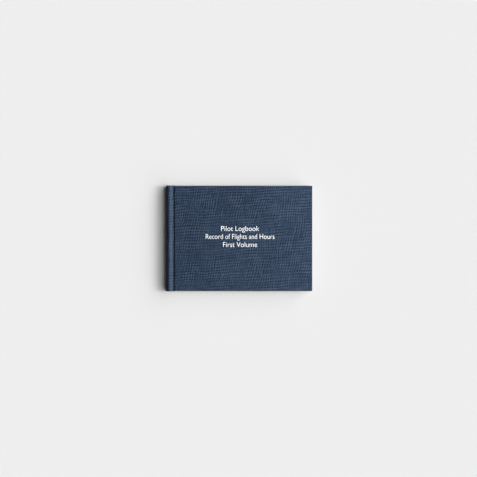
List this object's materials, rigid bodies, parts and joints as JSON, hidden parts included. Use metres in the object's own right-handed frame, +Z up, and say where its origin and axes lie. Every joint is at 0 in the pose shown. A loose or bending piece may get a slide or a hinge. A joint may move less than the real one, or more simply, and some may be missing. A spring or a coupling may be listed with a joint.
{
  "type": "hardback logbook",
  "caption": "Landscape cloth-bound hardback logbook with rounded spine, hinged covers, endpapers and sewn sections of leaves",
  "frame": {"origin": "centre of the closed case's outline, on the surface it lies on", "axes": "+X from the spine to the fore-edge, +Y from tail to head, +Z up out of the front cover"},
  "size_m": [0.216, 0.1558, 0.016],
  "materials": {
    "book_cloth": "matte",
    "grey_board": "matte",
    "endpaper": "matte",
    "leaf_paper": "matte",
    "linen_tape": "matte",
    "thread": "matte",
    "mull": "matte",
    "kraft_paper": "matte",
    "endband": "satin",
    "spine_card": "matte",
    "stamp_foil": "satin"
  },
  "bodies": {
    "text_block": {"section_01_fold": "leaf_paper", "section_02_fold": "leaf_paper", "section_03_fold": "leaf_paper", "section_04_fold": "leaf_paper", "section_07_fold": "leaf_paper", "section_08_fold": "leaf_paper", "section_09_fold": "leaf_paper", "section_10_fold": "leaf_paper", "section_05": "leaf_paper", "section_06": "leaf_paper", "sewing_tape_head": "linen_tape", "sewing_tape_middle": "linen_tape", "sewing_tape_tail": "linen_tape", "sewing_thread": "thread", "mull": "mull", "spine_lining": "kraft_paper", "headband": "endband", "tailband": "endband", "spine_inlay": "spine_card", "spine_cloth": "book_cloth"},
    "front_joint": {"front_joint_cloth": "book_cloth", "front_joint_mull": "mull", "front_endpaper_fold": "endpaper"},
    "front_cover": {"front_board": "grey_board", "front_cover_cloth": "book_cloth", "front_pastedown": "endpaper", "title_stamp": "stamp_foil"},
    "front_flyleaf": {"front_flyleaf": "endpaper"},
    "back_joint": {"back_joint_cloth": "book_cloth", "back_joint_mull": "mull", "back_endpaper_fold": "endpaper"},
    "back_cover": {"back_board": "grey_board", "back_cover_cloth": "book_cloth", "back_pastedown": "endpaper"},
    "back_flyleaf": {"back_flyleaf": "endpaper"},
    "leaves_01": {"section_01_leaves": "leaf_paper"},
    "leaves_02": {"section_02_leaves": "leaf_paper"},
    "leaves_03": {"section_03_leaves": "leaf_paper"},
    "leaves_04": {"section_04_leaves": "leaf_paper"},
    "leaves_10": {"section_10_leaves": "leaf_paper"},
    "leaves_09": {"section_09_leaves": "leaf_paper"},
    "leaves_08": {"section_08_leaves": "leaf_paper"},
    "leaves_07": {"section_07_leaves": "leaf_paper"}
  },
  "joints": [
    {"name": "front_cover_hinge", "type": "hinge", "parent": "front_joint", "child": "front_cover", "pos_m": [-0.0944, 0, 0.0131], "axis": [0, -1, 0], "range_deg": [0, 90], "deforming": ["front_joint_cloth"]},
    {"name": "front_joint_hinge", "type": "hinge", "parent": "text_block", "child": "front_joint", "pos_m": [-0.1006, 0, 0.013], "axis": [0, -1, 0], "range_deg": [0, 90]},
    {"name": "front_flyleaf_hinge", "type": "hinge", "parent": "front_joint", "child": "front_flyleaf", "pos_m": [-0.0944, 0, 0.0131], "axis": [0, -1, 0], "range_deg": [0, 88.2]},
    {"name": "back_cover_hinge", "type": "hinge", "parent": "back_joint", "child": "back_cover", "pos_m": [-0.0944, 0, 0.0029], "axis": [0, 1, 0], "range_deg": [0, 90], "deforming": ["back_joint_cloth"]},
    {"name": "back_joint_hinge", "type": "hinge", "parent": "text_block", "child": "back_joint", "pos_m": [-0.1006, 0, 0.003], "axis": [0, 1, 0], "range_deg": [0, 90]},
    {"name": "back_flyleaf_hinge", "type": "hinge", "parent": "back_joint", "child": "back_flyleaf", "pos_m": [-0.0944, 0, 0.0029], "axis": [0, 1, 0], "range_deg": [0, 88.2]},
    {"name": "leaves_01_hinge", "type": "hinge", "parent": "text_block", "child": "leaves_01", "pos_m": [-0.1006, 0, 0.013], "axis": [0, -1, 0], "range_deg": [0, 72]},
    {"name": "leaves_02_hinge", "type": "hinge", "parent": "text_block", "child": "leaves_02", "pos_m": [-0.1006, 0, 0.013], "axis": [0, -1, 0], "range_deg": [0, 54]},
    {"name": "leaves_03_hinge", "type": "hinge", "parent": "text_block", "child": "leaves_03", "pos_m": [-0.1006, 0, 0.013], "axis": [0, -1, 0], "range_deg": [0, 36]},
    {"name": "leaves_04_hinge", "type": "hinge", "parent": "text_block", "child": "leaves_04", "pos_m": [-0.1006, 0, 0.013], "axis": [0, -1, 0], "range_deg": [0, 18]},
    {"name": "leaves_10_hinge", "type": "hinge", "parent": "text_block", "child": "leaves_10", "pos_m": [-0.1006, 0, 0.003], "axis": [0, 1, 0], "range_deg": [0, 72]},
    {"name": "leaves_09_hinge", "type": "hinge", "parent": "text_block", "child": "leaves_09", "pos_m": [-0.1006, 0, 0.003], "axis": [0, 1, 0], "range_deg": [0, 54]},
    {"name": "leaves_08_hinge", "type": "hinge", "parent": "text_block", "child": "leaves_08", "pos_m": [-0.1006, 0, 0.003], "axis": [0, 1, 0], "range_deg": [0, 36]},
    {"name": "leaves_07_hinge", "type": "hinge", "parent": "text_block", "child": "leaves_07", "pos_m": [-0.1006, 0, 0.003], "axis": [0, 1, 0], "range_deg": [0, 18]}
  ],
  "couplings": [
    {"joint": "front_joint_hinge", "follows": "front_cover_hinge", "ratio": 1},
    {"joint": "front_flyleaf_hinge", "follows": "front_cover_hinge", "ratio": 0.98},
    {"joint": "back_joint_hinge", "follows": "back_cover_hinge", "ratio": 1},
    {"joint": "back_flyleaf_hinge", "follows": "back_cover_hinge", "ratio": 0.98},
    {"joint": "leaves_01_hinge", "follows": "front_cover_hinge", "ratio": 0.8},
    {"joint": "leaves_02_hinge", "follows": "front_cover_hinge", "ratio": 0.6},
    {"joint": "leaves_03_hinge", "follows": "front_cover_hinge", "ratio": 0.4},
    {"joint": "leaves_04_hinge", "follows": "front_cover_hinge", "ratio": 0.2},
    {"joint": "leaves_10_hinge", "follows": "back_cover_hinge", "ratio": 0.8},
    {"joint": "leaves_09_hinge", "follows": "back_cover_hinge", "ratio": 0.6},
    {"joint": "leaves_08_hinge", "follows": "back_cover_hinge", "ratio": 0.4},
    {"joint": "leaves_07_hinge", "follows": "back_cover_hinge", "ratio": 0.2}
  ]
}
